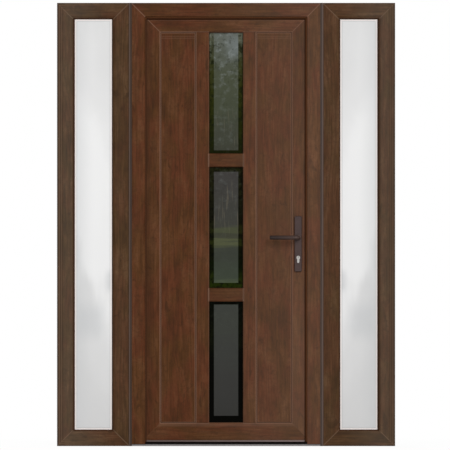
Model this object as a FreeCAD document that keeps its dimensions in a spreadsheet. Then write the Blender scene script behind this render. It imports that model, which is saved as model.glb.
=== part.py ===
# Entrance door with two fixed sidelights: foil-wrapped PVC profiles, an inward-opening leaf with
# a three-pane column between two flat panels, an aluminium threshold and two coupling profiles.
#
# Frame of the model: X runs to the right seen from outside, Y runs into the house, Z is up.
# The origin lies on the base face, in the middle of the width and of the frame's depth.
# A bar's section is drawn in its own X-Y plane: x is the distance in from the outer edge and
# y is the depth, which is the model's own Y. The bar runs along its own Z and is then turned.

import FreeCAD, Part
import math
import os
import Sketcher

from FreeCAD import Placement, Rotation, Vector

SIZES = {
    # Whole door set
    "overall_width": 1550,
    "overall_height": 2032,
    "frame_depth": 70,
    # Fixed frame round the leaf
    "door_frame_width": 870,
    "door_frame_face": 64,
    "outer_bevel": 2,
    "leg_thickness": 14,
    "leg_bevel": 3,
    "rebate_width": 22,
    # Coupling profiles between the door frame and the sidelights
    "coupler_web": 8,
    "coupler_lap": 3,
    "coupler_flange": 2,
    # Threshold
    "threshold_height": 9,
    "threshold_nose": 3,
    "threshold_lip": 10,
    "tread_groove_width": 2,
    "tread_groove_depth": 1,
    "tread_groove_step": 6,
    "ridge_height": 9.5,
    "ridge_setback": 2,
    "ridge_bevel": 2,
    # Leaf
    "leaf_depth": 70,
    "leaf_face": 80,
    "leaf_base_height": 26,
    "face_gap": 6,
    "edge_gap": 12,
    "leaf_lap": 8,
    "flange_bevel": 3,
    "bar_face": 62,
    "pane_width": 156,
    "field_setback": 2,
    "field_gap": 1.5,
    "field_bevel": 3,
    # Glazing rebate shared by the leaf and the sidelights
    "lip_width": 20,
    "lip_thickness": 12,
    "lip_bevel": 4.5,
    "gasket_thickness": 3,
    "gasket_width": 4,
    "gasket_reveal": 1,
    "seal_width": 6,
    "seal_thickness": 1,
    "seal_inset": 3,
    "leaf_seal_width": 4,
    "seal_clearance": 1,
    "unit_thickness": 28,
    "unit_edge_gap": 5,
    "pane_thickness": 4,
    "spacer_width": 8,
    "spacer_inset": 2,
    "bead_toe": 8,
    "bead_rise": 7,
    "mitre_gap": 0.2,
    # Sidelights
    "sidelight_stile_face": 75,
    "sidelight_rail_face": 69,
    "sidelight_bevel_width": 10,
    "sidelight_bevel_depth": 6,
    "sidelight_gasket_reveal": 5,
    # Drip bar and brush seal under the leaf
    "drip_height": 9,
    "drip_depth": 8,
    "drip_setback": 3,
    "drip_bevel": 2,
    "brush_height": 11.5,
    "brush_depth": 8,
    "brush_setback": 24,
    # Lock, handle and cylinder
    "backset": 50,
    "spindle_height": 956,
    "lock_centres": 92,
    "plate_width": 33,
    "plate_height": 254,
    "plate_thickness": 10,
    "plate_rise": 98,
    "plate_corner": 5,
    "plate_bevel": 2,
    "spindle_side": 8,
    "spindle_clearance": 1.5,
    "lever_radius": 9.5,
    "lever_clearance": 0.3,
    "lever_reach": 131,
    "lever_projection": 58,
    "lever_bend": 16,
    "lever_sag": 10,
    "lever_tip_bevel": 3,
    "cylinder_radius": 8.5,
    "cylinder_tail": 10,
    "cylinder_drop": 19.5,
    "cylinder_proud": 3,
    "cylinder_clearance": 0.3,
    "plug_radius": 6.3,
    "plug_clearance": 0.3,
    "plug_proud": 1,
    "keyway_width": 2,
    "keyway_height": 8,
    "keyway_depth": 12,
    # Lock faceplate in the leaf's edge and keeps on the frame
    "faceplate_width": 24,
    "faceplate_thickness": 3,
    "faceplate_end_gap": 94,
    "faceplate_setback": 14,
    "faceplate_clearance": 0.2,
    "bolt_width": 12,
    "bolt_length": 34,
    "latch_rise": 14,
    "deadbolt_drop": 46,
    "hook_inset": 150,
    "bolt_clearance": 0.2,
    "keep_thickness": 3,
    "keep_margin": 24,
    "keep_window_margin": 3,
    # Hinges
    "hinge_height": 102,
    "hinge_plate": 4,
    "hinge_plate_gap": 3,
    "hinge_leaf_plate": 56,
    "knuckle_radius": 10,
    "knuckle_height": 33,
    "knuckle_gap": 1,
    "hinge_pin_radius": 5,
    "hinge_pin_clearance": 0.3,
    "hinge_side": 9,
    "hinge_stand_off": 1,
    "hinge_arm": 6,
    "hinge_corner": 3,
    "hinge_inset": 226,
}

doc = FreeCAD.newDocument("door_with_sidelights")
sheet = doc.addObject("Spreadsheet::Sheet", "Sizes")
for row, (alias, number) in enumerate(SIZES.items(), start=1):
    sheet.set("A%d" % row, alias)
    sheet.set("B%d" % row, str(number))
    sheet.setAlias("B%d" % row, alias)
doc.recompute()


class Size:
    """A length: its number, and the expression that ties a feature to the sheet."""

    def __init__(self, number, text):
        self.number = number
        self.text = text

    def __add__(self, other):
        return combine(self, "+", other)

    def __radd__(self, other):
        return combine(other, "+", self)

    def __sub__(self, other):
        return combine(self, "-", other)

    def __rsub__(self, other):
        return combine(other, "-", self)

    def __mul__(self, other):
        return combine(self, "*", other)

    def __rmul__(self, other):
        return combine(other, "*", self)

    def __truediv__(self, other):
        return combine(self, "/", other)

    def __neg__(self):
        return combine(0, "-", self)


def as_size(value):
    return value if isinstance(value, Size) else Size(value, repr(value))


def combine(left, sign, right):
    left = as_size(left)
    right = as_size(right)
    results = {
        "+": left.number + right.number,
        "-": left.number - right.number,
        "*": left.number * right.number,
        "/": left.number / right.number if right.number else 0,
    }
    return Size(results[sign], "(%s %s %s)" % (left.text, sign, right.text))


def size(alias):
    return Size(SIZES[alias], "Sizes." + alias)


# Sizes used in many places, and what follows from them
overall_height = size("overall_height")
half_width = size("overall_width") / 2
half_frame = size("door_frame_width") / 2
outer_face = -size("frame_depth") / 2
inner_face = size("frame_depth") / 2
frame_face = size("door_frame_face")
threshold_top = size("threshold_height")
sidelight_width = half_width - half_frame - size("coupler_web")

leg_back = outer_face + size("leg_thickness")
jamb_rebate = frame_face - size("rebate_width")
leaf_front = leg_back + size("face_gap")
leaf_back = leaf_front + size("leaf_depth")
flange_front = inner_face + size("face_gap")

leaf_edge = half_frame - jamb_rebate - size("edge_gap")
leaf_flange = size("edge_gap") + size("leaf_lap")
leaf_half = leaf_edge + leaf_flange
leaf_base = size("leaf_base_height")
leaf_top = overall_height - jamb_rebate - size("edge_gap") + leaf_flange
leaf_sight = leaf_flange + size("leaf_face")
leaf_wall = leaf_sight - size("lip_width")

lip_width = size("lip_width")
bar_face = size("bar_face")
cells_low = leaf_base + size("leaf_face")
cells_high = leaf_top - leaf_sight
cells_half = leaf_half - leaf_sight
pane_half = size("pane_width") / 2
mullion_centre = pane_half + bar_face / 2
panel_near = pane_half + bar_face
pane_height = (cells_high - cells_low - bar_face * 2) / 3

gasket = size("gasket_thickness")
unit_thickness = size("unit_thickness")
leaf_lip_back = leaf_front + size("lip_thickness")
sidelight_lip_back = outer_face + size("lip_thickness")

lock_x = leaf_edge - size("backset")
lock_z = size("spindle_height")
cylinder_z = lock_z - size("lock_centres")
plate_front = leaf_front - size("plate_thickness")
plate_back = leaf_back + size("plate_thickness")

leaf_rebate_top = leaf_top - leaf_flange
faceplate_low = leaf_base + size("faceplate_end_gap")
faceplate_high = leaf_rebate_top - size("faceplate_end_gap")
faceplate_front = leaf_front + size("faceplate_setback")
bolt_centre = faceplate_front + size("faceplate_width") / 2

hinge_x = -leaf_half - size("hinge_side")
hinge_y = leaf_back + size("knuckle_radius") + size("hinge_stand_off")


# Drawing helpers

def new_body(label):
    body = doc.addObject("PartDesign::Body", label)
    body.Label = label
    return body


def new_sketch(body, role, offset=0):
    """A sketch on one of the body's origin planes, offset along the plane's normal."""
    plane = [item for item in body.Origin.OriginFeatures if item.Role == role][0]
    sketch = body.newObject("Sketcher::SketchObject", body.Name + "_sketch")
    sketch.AttachmentSupport = [(plane, "")]
    sketch.MapMode = "FlatFace"
    sketch.setExpression("AttachmentOffset.Base.z", as_size(offset).text)
    return sketch


def hold(sketch, kind, geometry, point, value):
    value = as_size(value)
    index = sketch.addConstraint(
        Sketcher.Constraint(kind, -1, 1, geometry, point, value.number))
    sketch.setExpression("Constraints[%d]" % index, value.text)


def polygon(*corners):
    """A closed outline through the corners, for use in a sketch."""
    corners = [(as_size(x), as_size(y)) for x, y in corners]

    def draw(sketch):
        first = sketch.GeometryCount
        count = len(corners)
        points = [Vector(x.number, y.number, 0) for x, y in corners]
        for index in range(count):
            line = Part.LineSegment(points[index], points[(index + 1) % count])
            sketch.addGeometry(line, False)
        for index in range(count):
            following = first + (index + 1) % count
            sketch.addConstraint(
                Sketcher.Constraint("Coincident", first + index, 2, following, 1))
        for index, (x, y) in enumerate(corners):
            hold(sketch, "DistanceX", first + index, 1, x)
            hold(sketch, "DistanceY", first + index, 1, y)
    return draw


def rectangle(left, low, right, high):
    return polygon((left, low), (right, low), (right, high), (left, high))


def circle(x, y, radius):
    """A full circle about a held centre, for use in a sketch."""
    x = as_size(x)
    y = as_size(y)
    radius = as_size(radius)

    def draw(sketch):
        index = sketch.GeometryCount
        centre = Vector(x.number, y.number, 0)
        sketch.addGeometry(Part.Circle(centre, Vector(0, 0, 1), radius.number), False)
        hold(sketch, "DistanceX", index, 3, x)
        hold(sketch, "DistanceY", index, 3, y)
        wide = sketch.addConstraint(Sketcher.Constraint("Radius", index, radius.number))
        sketch.setExpression("Constraints[%d]" % wide, radius.text)
    return draw


def add_pad(body, role, outlines, start, length):
    """Pad outlines from start by length; depth (Y) is measured into the house."""
    into_house = role == "XZ_Plane"
    sketch = new_sketch(body, role, -start if into_house else start)
    for draw in outlines:
        draw(sketch)
    pad = body.newObject("PartDesign::Pad", body.Name + "_pad")
    pad.Profile = sketch
    pad.Reversed = into_house
    pad.setExpression("Length", as_size(length).text)
    sketch.Visibility = False
    return pad


def add_pocket(body, role, outlines, start=0, length=None):
    """Cut outlines from start by length, or right through both ways."""
    into_house = role == "XZ_Plane"
    sketch = new_sketch(body, role, -start if into_house else start)
    for draw in outlines:
        draw(sketch)
    pocket = body.newObject("PartDesign::Pocket", body.Name + "_pocket")
    pocket.Profile = sketch
    if length is None:
        pocket.SideType = "Symmetric"
        pocket.Type = "ThroughAll"
    else:
        pocket.Reversed = not into_house
        pocket.setExpression("Length", as_size(length).text)
    return pocket


def put(body, x, y, z, turn=0):
    """Place a body; turn is its rotation about Y, in degrees."""
    body.Placement = Placement(Vector(0, 0, 0), Rotation(Vector(0, 1, 0), turn))
    for letter, value in (("x", x), ("y", y), ("z", z)):
        body.setExpression("Placement.Base." + letter, as_size(value).text)


def bar(label, outlines, length, x, z, turn=0):
    """A straight profile bar: its section padded along its own Z."""
    body = new_body(label)
    add_pad(body, "XY_Plane", outlines, 0, length)
    put(body, x, 0, z, turn)
    return body


OVERRUN = 5


def mitre_start(face, gap, across=None):
    """The corner cut off a bar's first end, where it meets a bar that is across wide."""
    across = across or face
    slope = across * OVERRUN / face
    return polygon((-OVERRUN, gap - slope), (-OVERRUN, -2 * OVERRUN),
                   (face + OVERRUN, -2 * OVERRUN), (face + OVERRUN, across + gap + slope))


def mitre_end(face, length, gap, across=None):
    """The same corner at the bar's far end."""
    across = across or face
    slope = across * OVERRUN / face
    return polygon((-OVERRUN, length - gap + slope), (-OVERRUN, length + 2 * OVERRUN),
                   (face + OVERRUN, length + 2 * OVERRUN),
                   (face + OVERRUN, length - across - gap - slope))


def mitred_bar(label, section, face, length, x, z, turn, gap=0, across=None):
    """A bar with both ends mitred."""
    body = bar(label, [section], length, x, z, turn)
    add_pocket(body, "XZ_Plane", [mitre_start(face, gap, across),
                                  mitre_end(face, length, gap, across)])
    return body


def ring(left, low, right, high, width):
    """Two outlines that leave a flat rectangular ring, width wide inside the given edges."""
    return [rectangle(left, low, right, high),
            rectangle(left + width, low + width, right - width, high - width)]


def face_towards(shape, outward):
    """The name of the flat face that lies furthest out (-1) or furthest in (1)."""
    faces = shape.Faces
    number = max(range(len(faces)), key=lambda index: outward * faces[index].CenterOfMass.y)
    return "Face%d" % (number + 1)


def edges_along_depth(shape):
    """The names of the straight edges that run along Y."""
    return ["Edge%d" % number for number, edge in enumerate(shape.Edges, start=1)
            if edge.Curve.TypeId == "Part::GeomLine" and abs(edge.Curve.Direction.y) > 0.99]


def dress(body, kind, feature, names, width):
    """Fillet or chamfer the named edges, or all edges of the named face."""
    dressed = body.newObject("PartDesign::" + kind, "%s_%s" % (body.Name, kind.lower()))
    dressed.Base = (feature, names)
    dressed.setExpression("Radius" if kind == "Fillet" else "Size", as_size(width).text)
    doc.recompute()
    return dressed


# Sections of the profiles

def door_frame_section():
    """L-shaped: an outer leg that covers the leaf's edge, and the body behind it."""
    bevel = size("leg_bevel")
    corner = size("outer_bevel")
    return polygon((0, outer_face + corner), (corner, outer_face),
                   (frame_face - bevel, outer_face),
                   (frame_face, outer_face + bevel), (frame_face, leg_back),
                   (jamb_rebate, leg_back), (jamb_rebate, inner_face),
                   (corner, inner_face), (0, inner_face - corner))


def leaf_section(flange):
    """Z-shaped: the glazing lip outside, and inside the flange that laps the frame."""
    bevel = size("lip_bevel")
    corner = size("flange_bevel")
    outer = [(leaf_flange, leaf_front), (leaf_sight - bevel, leaf_front),
             (leaf_sight, leaf_front + bevel), (leaf_sight, leaf_lip_back),
             (leaf_wall, leaf_lip_back), (leaf_wall, leaf_back)]
    if flange:
        lap = [(corner, leaf_back), (0, leaf_back - corner), (0, flange_front),
               (leaf_flange, flange_front)]
    else:
        lap = [(leaf_flange, leaf_back)]
    return polygon(*outer, *lap)


def sidelight_section(face):
    """A fixed frame: the glazing lip outside and the open rebate inside."""
    corner = size("outer_bevel")
    return polygon((0, outer_face + corner), (corner, outer_face),
                   (face - size("sidelight_bevel_width"), outer_face),
                   (face, outer_face + size("sidelight_bevel_depth")),
                   (face, sidelight_lip_back), (face - lip_width, sidelight_lip_back),
                   (face - lip_width, inner_face), (corner, inner_face),
                   (0, inner_face - corner))


def bar_lips():
    """The wide outer part of a mullion or cross bar, bevelled at both edges."""
    bevel = size("lip_bevel")
    half = bar_face / 2
    return polygon((-half, leaf_lip_back), (-half, leaf_front + bevel),
                   (-half + bevel, leaf_front), (half - bevel, leaf_front),
                   (half, leaf_front + bevel), (half, leaf_lip_back))


def bar_web():
    """The narrow part of a mullion or cross bar, behind its lips."""
    half = bar_face / 2 - lip_width
    return rectangle(-half, leaf_lip_back, half, leaf_back)


def bead_section(lip_back, face_back):
    """A glazing bead on the rebate's wall: flat to the glass, sloped to the room."""
    glass_side = lip_back + gasket + unit_thickness + gasket
    wide = lip_width
    return polygon((0, glass_side), (wide, glass_side), (wide, glass_side + size("bead_rise")),
                   (size("bead_toe"), face_back), (0, face_back))


# Fixed frame, threshold and couplers

def door_frame():
    section = door_frame_section()
    jamb_length = overall_height - threshold_top
    for label, x, z, turn in (("door_frame_hinge_jamb", -half_frame, threshold_top, 0),
                              ("door_frame_lock_jamb", half_frame, overall_height, 180)):
        body = bar(label, [section], jamb_length, x, z, turn)
        if turn:
            add_pocket(body, "XZ_Plane", [mitre_start(frame_face, 0)])
        else:
            add_pocket(body, "XZ_Plane", [mitre_end(frame_face, jamb_length, 0)])
    mitred_bar("door_frame_head", section, frame_face, half_frame * 2,
               -half_frame, overall_height, 90)


def threshold():
    """A low aluminium sill under leaf and jambs, and the dark ridge in front of the leaf."""
    nose = size("threshold_nose")
    lip = size("threshold_lip")
    groove = size("tread_groove_width")
    deep = size("tread_groove_depth")
    step = size("tread_groove_step")
    base = new_body("threshold_base")
    add_pad(base, "YZ_Plane", [polygon((outer_face, 0), (inner_face, 0),
                                       (inner_face, threshold_top - nose),
                                       (inner_face - nose, threshold_top),
                                       (outer_face + nose, threshold_top),
                                       (outer_face, threshold_top - nose))],
            0, half_frame * 2)
    grooves = []
    for number in range(4):
        low = leg_back + lip + step * number
        grooves.append(rectangle(low, threshold_top - deep, low + groove,
                                 threshold_top + OVERRUN))
    add_pocket(base, "YZ_Plane", grooves, jamb_rebate,
               (half_frame - jamb_rebate) * 2)
    put(base, -half_frame, 0, 0)

    bevel = size("ridge_bevel")
    front = outer_face + size("ridge_setback")
    high = threshold_top + size("ridge_height")
    half = half_frame - frame_face
    ridge = new_body("threshold_ridge")
    add_pad(ridge, "YZ_Plane", [polygon((front, threshold_top), (leg_back, threshold_top),
                                        (leg_back, high), (front + bevel, high),
                                        (front, high - bevel))], 0, half * 2)
    put(ridge, -half, 0, 0)


def seal_strips(label, section, face, half, low, high):
    """Strips up both sides and along the top, mitred where they meet."""
    tall = high - low
    gap = size("mitre_gap")
    left = bar(label + "_left", [section], tall, -half, low)
    add_pocket(left, "XZ_Plane", [mitre_end(face, tall, gap)])
    right = bar(label + "_right", [section], tall, half, high, 180)
    add_pocket(right, "XZ_Plane", [mitre_start(face, gap)])
    top = mitred_bar(label + "_top", section, face, half * 2, -half, high, 90, gap)
    group(label, [left, right, top])


def frame_seal():
    """The strips on the back of the frame's leg that face the closed leaf."""
    right = frame_face - size("seal_inset")
    left = right - size("seal_width")
    section = rectangle(left, leg_back, right, leg_back + size("seal_thickness"))
    seal_strips("frame_seal", section, right, half_frame, threshold_top, overall_height)


def couplers():
    """H-shaped profiles whose flanges lap the frames they join, outside and inside."""
    half_web = size("coupler_web") / 2
    half_flange = half_web + size("coupler_lap")
    thick = size("coupler_flange")
    section = polygon((-half_flange, outer_face - thick), (half_flange, outer_face - thick),
                      (half_flange, outer_face), (half_web, outer_face),
                      (half_web, inner_face), (half_flange, inner_face),
                      (half_flange, inner_face + thick), (-half_flange, inner_face + thick),
                      (-half_flange, inner_face), (-half_web, inner_face),
                      (-half_web, outer_face), (-half_flange, outer_face))
    for label, side in (("left_coupler", -1), ("right_coupler", 1)):
        bar(label, [section], overall_height, side * (half_frame + half_web), 0)


# Sidelights

def four_bars(names, upright, flat, left, low, right, high, gap=0):
    """Four mitred bars round a rectangle: left, top, right and bottom.

    The upright and the flat bars are each given as a section and its face width.
    """
    tall = high - low
    wide = right - left
    places = ((upright, flat, tall, left, low, 0), (flat, upright, wide, left, high, 90),
              (upright, flat, tall, right, high, 180), (flat, upright, wide, right, low, 270))
    return [mitred_bar(name, section, face, length, x, z, turn, gap, across)
            for name, ((section, face), (_, across), length, x, z, turn) in zip(names, places)]


def group(label, bodies):
    """One sub-part made of several like solids."""
    joined = doc.addObject("Part::Compound", label)
    joined.Label = label
    joined.Links = bodies
    return joined


def beads(label, cells, lip_back, face_back):
    """Snap-in beads: four mitred strips round each cell (left, low, right, high)."""
    strips = []
    bead = (bead_section(lip_back, face_back), lip_width)
    for number, (left, low, right, high) in enumerate(cells, start=1):
        names = ["%s_strip_%d_%s" % (label, number, side)
                 for side in ("left", "top", "right", "bottom")]
        strips += four_bars(names, bead, bead, left - lip_width, low - lip_width,
                            right + lip_width, high + lip_width, size("mitre_gap"))
    return group(label, strips)


def gaskets(label, cells, lip_back, reveal):
    """Rubber rings either side of the glass or panel in each cell."""
    body = new_body(label)
    edge = size("gasket_width")
    for start, shown in ((lip_back, reveal),
                         (lip_back + gasket + unit_thickness, size("gasket_reveal"))):
        outlines = []
        for left, low, right, high in cells:
            outlines += ring(left - edge, low - edge, right + edge, high + edge, edge + shown)
        add_pad(body, "XZ_Plane", outlines, start, gasket)
    return body


def glass_unit(label, cell, lip_back):
    """Two panes of a sealed unit, standing apart by the spacer."""
    left, low, right, high = cell
    reach = lip_width - size("unit_edge_gap")
    pane = size("pane_thickness")
    outline = [rectangle(left - reach, low - reach, right + reach, high + reach)]
    body = new_body(label)
    front = lip_back + gasket
    add_pad(body, "XZ_Plane", outline, front, pane)
    add_pad(body, "XZ_Plane", outline, front + unit_thickness - pane, pane)
    return body


def spacers(label, cells, lip_back):
    """The spacer bars between the panes, one ring in each cell."""
    reach = lip_width - size("unit_edge_gap") - size("spacer_inset")
    pane = size("pane_thickness")
    outlines = []
    for left, low, right, high in cells:
        outlines += ring(left - reach, low - reach, right + reach, high + reach,
                         size("spacer_width"))
    body = new_body(label)
    add_pad(body, "XZ_Plane", outlines, lip_back + gasket + pane, unit_thickness - pane * 2)
    return body


def sidelights():
    stile = size("sidelight_stile_face")
    rail = size("sidelight_rail_face")
    upright = (sidelight_section(stile), stile)
    flat = (sidelight_section(rail), rail)
    cells = []
    for side, left in (("left", -half_width), ("right", half_width - sidelight_width)):
        right = left + sidelight_width
        stiles = ("outer_stile", "inner_stile") if side == "left" else ("inner_stile",
                                                                       "outer_stile")
        names = ["%s_sidelight_%s" % (side, piece)
                 for piece in (stiles[0], "head", stiles[1], "sill")]
        four_bars(names, upright, flat, left, as_size(0), right, overall_height)
        cell = (left + stile, rail, right - stile, overall_height - rail)
        cells.append(cell)
        glass_unit("%s_sidelight_glass" % side, cell, sidelight_lip_back)
        beads("%s_sidelight_beads" % side, [cell], sidelight_lip_back, inner_face)
    spacers("sidelight_spacers", cells, sidelight_lip_back)
    gaskets("sidelight_gaskets", cells, sidelight_lip_back, size("sidelight_gasket_reveal"))


# Leaf

def euro_profile(body, cut, x, z, down, grow, start, length):
    """Pad or cut the lock cylinder's outline: a round head over a narrow rounded tail."""
    radius = size("cylinder_radius") + grow
    tail = size("cylinder_tail") / 2 + grow
    foot = z + size("cylinder_drop") * down
    shapes = (circle(x, z, radius), rectangle(x - tail, z, x + tail, foot),
              circle(x, foot, tail))
    for shape in shapes:
        if cut:
            add_pocket(body, "XZ_Plane", [shape], start, length)
        else:
            add_pad(body, "XZ_Plane", [shape], start, length)


def leaf_stiles():
    tall = leaf_top - leaf_base
    section = leaf_section(True)
    hinge = bar("leaf_hinge_stile", [section], tall, -leaf_half, leaf_base, 0)
    foot = polygon((leaf_flange, 0), (leaf_sight + OVERRUN, -OVERRUN),
                   (leaf_sight + OVERRUN, leaf_sight - leaf_flange + OVERRUN))
    add_pocket(hinge, "XZ_Plane", [mitre_end(leaf_sight, tall, 0), foot])

    lock = bar("leaf_lock_stile", [section], tall, leaf_half, leaf_top, 180)
    foot = polygon((leaf_flange, tall), (leaf_sight + OVERRUN, tall + OVERRUN),
                   (leaf_sight + OVERRUN, tall - leaf_sight + leaf_flange - OVERRUN))
    add_pocket(lock, "XZ_Plane", [mitre_start(leaf_sight, 0), foot])
    lock_in = leaf_half - lock_x
    hole = size("spindle_side") * 0.7072 + size("spindle_clearance")
    add_pocket(lock, "XZ_Plane", [circle(lock_in, leaf_top - lock_z, hole)])
    euro_profile(lock, True, lock_in, leaf_top - cylinder_z, 1, size("cylinder_clearance"),
                 leaf_front - OVERRUN, size("leaf_depth") + 2 * OVERRUN)
    clearance = size("faceplate_clearance")
    groove = rectangle(leaf_flange - OVERRUN, faceplate_front - clearance,
                       leaf_flange + size("faceplate_thickness"),
                       faceplate_front + size("faceplate_width") + clearance)
    add_pocket(lock, "XY_Plane", [groove], leaf_top - faceplate_high - clearance,
               faceplate_high - faceplate_low + clearance * 2)


def leaf_rails():
    wide = leaf_half * 2
    mitred_bar("leaf_top_rail", leaf_section(True), leaf_sight, wide,
               -leaf_half, leaf_top, 90)
    bottom = bar("leaf_bottom_rail", [leaf_section(False)], wide, leaf_half,
                 leaf_base - leaf_flange, 270)
    add_pocket(bottom, "XZ_Plane", [mitre_start(leaf_sight, 0),
                                    mitre_end(leaf_sight, wide, 0)])


def leaf_bars():
    """Two mullions between the rails, and two cross bars between the mullions."""
    tall = cells_high - cells_low
    for label, x in (("leaf_left_mullion", -mullion_centre),
                     ("leaf_right_mullion", mullion_centre)):
        body = new_body(label)
        add_pad(body, "XY_Plane", [bar_lips()], 0, tall)
        add_pad(body, "XY_Plane", [bar_web()], -lip_width, tall + lip_width * 2)
        put(body, x, 0, cells_low)
    lower = cells_low + pane_height + bar_face / 2
    upper = cells_high - pane_height - bar_face / 2
    for label, z in (("lower_cross_bar", lower), ("upper_cross_bar", upper)):
        body = new_body(label)
        add_pad(body, "XY_Plane", [bar_lips()], 0, pane_half * 2)
        add_pad(body, "XY_Plane", [bar_web()], -lip_width, pane_half * 2 + lip_width * 2)
        put(body, -pane_half, 0, z, 90)


def leaf_cells():
    """The openings in the leaf, as seen from outside: two panels and three panes."""
    left_panel = (-cells_half, cells_low, -panel_near, cells_high)
    right_panel = (panel_near, cells_low, cells_half, cells_high)
    step = pane_height + bar_face
    panes = [(-pane_half, cells_low + step * number, pane_half,
              cells_low + step * number + pane_height) for number in (0, 1, 2)]
    return [left_panel, right_panel], panes


def leaf_infill():
    panels, panes = leaf_cells()
    reach = lip_width - size("unit_edge_gap")
    gap = size("field_gap")
    panel_front = leaf_lip_back + gasket
    field_front = leaf_front + size("field_setback")
    for label, (left, low, right, high) in zip(("left_panel", "right_panel"), panels):
        body = new_body(label)
        add_pad(body, "XZ_Plane",
                [rectangle(left - reach, low - reach, right + reach, high + reach)],
                panel_front, unit_thickness)
        field = add_pad(body, "XZ_Plane",
                        [rectangle(left + gap, low + gap, right - gap, high - gap)],
                        field_front, panel_front - field_front)
        doc.recompute()
        dress(body, "Chamfer", field, [face_towards(field.Shape, -1)], size("field_bevel"))
    for label, cell in zip(("lower_glass", "middle_glass", "upper_glass"), panes):
        glass_unit(label, cell, leaf_lip_back)
    spacers("leaf_spacers", panes, leaf_lip_back)
    gaskets("leaf_gaskets", panels + panes, leaf_lip_back, size("gasket_reveal"))
    beads("panel_beads", panels, leaf_lip_back, leaf_back)
    beads("glass_beads", panes, leaf_lip_back, leaf_back)


def drip_bar():
    """The seal carrier that hangs under the leaf's outer edge."""
    front = leaf_front + size("drip_setback")
    back = front + size("drip_depth")
    bevel = size("drip_bevel")
    low = leaf_base - size("drip_height")
    half = leaf_edge - size("edge_gap") / 2
    body = new_body("leaf_drip_bar")
    add_pad(body, "YZ_Plane", [polygon((front + bevel, low), (back, low), (back, leaf_base),
                                       (front, leaf_base), (front, low + bevel))], 0, half * 2)
    put(body, -half, 0, 0)


def leaf_seals():
    """The strips on the leaf's flange, and the brush under its inner edge."""
    right = size("leaf_lap") - size("seal_clearance")
    left = right - size("leaf_seal_width")
    section = rectangle(left, flange_front - size("seal_thickness"), right, flange_front)
    seal_strips("leaf_seal", section, right, leaf_half, leaf_base, leaf_top)

    back = leaf_back - size("brush_setback")
    front = back - size("brush_depth")
    half = leaf_edge - size("edge_gap") / 2
    brush = new_body("leaf_brush_seal")
    add_pad(brush, "YZ_Plane", [rectangle(front, leaf_base - size("brush_height"),
                                          back, leaf_base)], 0, half * 2)
    put(brush, -half, 0, 0)


# Lock, handle and cylinder

def handle_plates():
    """Long plates with rounded corners and bevelled edges, bored for lever and cylinder."""
    half = size("plate_width") / 2
    high = size("plate_rise")
    low = high - size("plate_height")
    collar = size("lever_radius") + size("lever_clearance")
    thick = size("plate_thickness")
    for label, start, outward in (("outside_handle_plate", plate_front, -1),
                                  ("inside_handle_plate", leaf_back, 1)):
        body = new_body(label)
        plate = add_pad(body, "XZ_Plane", [rectangle(-half, low, half, high)], start, thick)
        doc.recompute()
        plate = dress(body, "Fillet", plate, edges_along_depth(plate.Shape),
                      size("plate_corner"))
        dress(body, "Chamfer", plate, [face_towards(plate.Shape, outward)],
              size("plate_bevel"))
        add_pocket(body, "XZ_Plane", [circle(0, 0, collar)], start - OVERRUN,
                   thick + 2 * OVERRUN)
        euro_profile(body, True, as_size(0), -size("lock_centres"), -1,
                     size("cylinder_clearance"), start - OVERRUN, thick + 2 * OVERRUN)
        put(body, lock_x, 0, lock_z)


def lever(label, start, outward):
    """A round lever: a neck through the plate, a bend, and a grip that leans to the leaf."""
    body = new_body(label)
    bend = size("lever_bend")
    reach = size("lever_reach")
    far = start + size("lever_projection") * outward
    turn = far - bend * outward
    tip = far - size("lever_sag") * outward

    # The grip's line touches the bend's circle, seen from the bend's centre
    to_tip = (bend - reach).number, ((tip - turn) * outward).number
    angle = math.atan2(to_tip[1], to_tip[0]) - math.acos(bend.number / math.hypot(*to_tip))
    touch = Vector(-bend.number + bend.number * math.cos(angle),
                   turn.number + bend.number * math.sin(angle) * outward, 0)
    elbow = Part.Circle(Vector(-bend.number, turn.number, 0), Vector(0, 0, 1), bend.number)
    near, far_end = (1, 2) if outward > 0 else (2, 1)
    path = new_sketch(body, "XY_Plane")
    path.addGeometry(Part.LineSegment(Vector(0, start.number, 0), Vector(0, turn.number, 0)))
    path.addGeometry(Part.ArcOfCircle(elbow, min(0, angle * outward), max(0, angle * outward)))
    path.addGeometry(Part.LineSegment(touch, Vector(-reach.number, tip.number, 0)))
    path.addConstraint(Sketcher.Constraint("Coincident", 0, 2, 1, near))
    path.addConstraint(Sketcher.Constraint("Tangent", 1, far_end, 2, 1))
    hold(path, "DistanceX", 0, 1, 0)
    hold(path, "DistanceY", 0, 1, start)
    hold(path, "DistanceX", 0, 2, 0)
    hold(path, "DistanceY", 0, 2, turn)
    hold(path, "DistanceX", 1, 3, -bend)
    hold(path, "DistanceY", 1, 3, turn)
    hold(path, "DistanceX", 2, 2, -reach)
    hold(path, "DistanceY", 2, 2, tip)

    section = new_sketch(body, "XZ_Plane", -start)
    circle(0, 0, size("lever_radius"))(section)
    pipe = body.newObject("PartDesign::AdditivePipe", body.Name + "_pipe")
    pipe.Profile = section
    pipe.Spine = path
    doc.recompute()
    edges = pipe.Shape.Edges
    end = min(range(len(edges)), key=lambda index: edges[index].CenterOfMass.x)
    dress(body, "Chamfer", pipe, ["Edge%d" % (end + 1)], size("lever_tip_bevel"))
    put(body, lock_x, 0, lock_z)


def levers():
    lever("outside_lever", leaf_front, -1)
    lever("inside_lever", leaf_back, 1)
    side = size("spindle_side") / 2
    body = new_body("lever_spindle")
    add_pad(body, "XZ_Plane", [rectangle(-side, -side, side, side)], leaf_front,
            size("leaf_depth"))
    put(body, lock_x, 0, lock_z)


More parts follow.
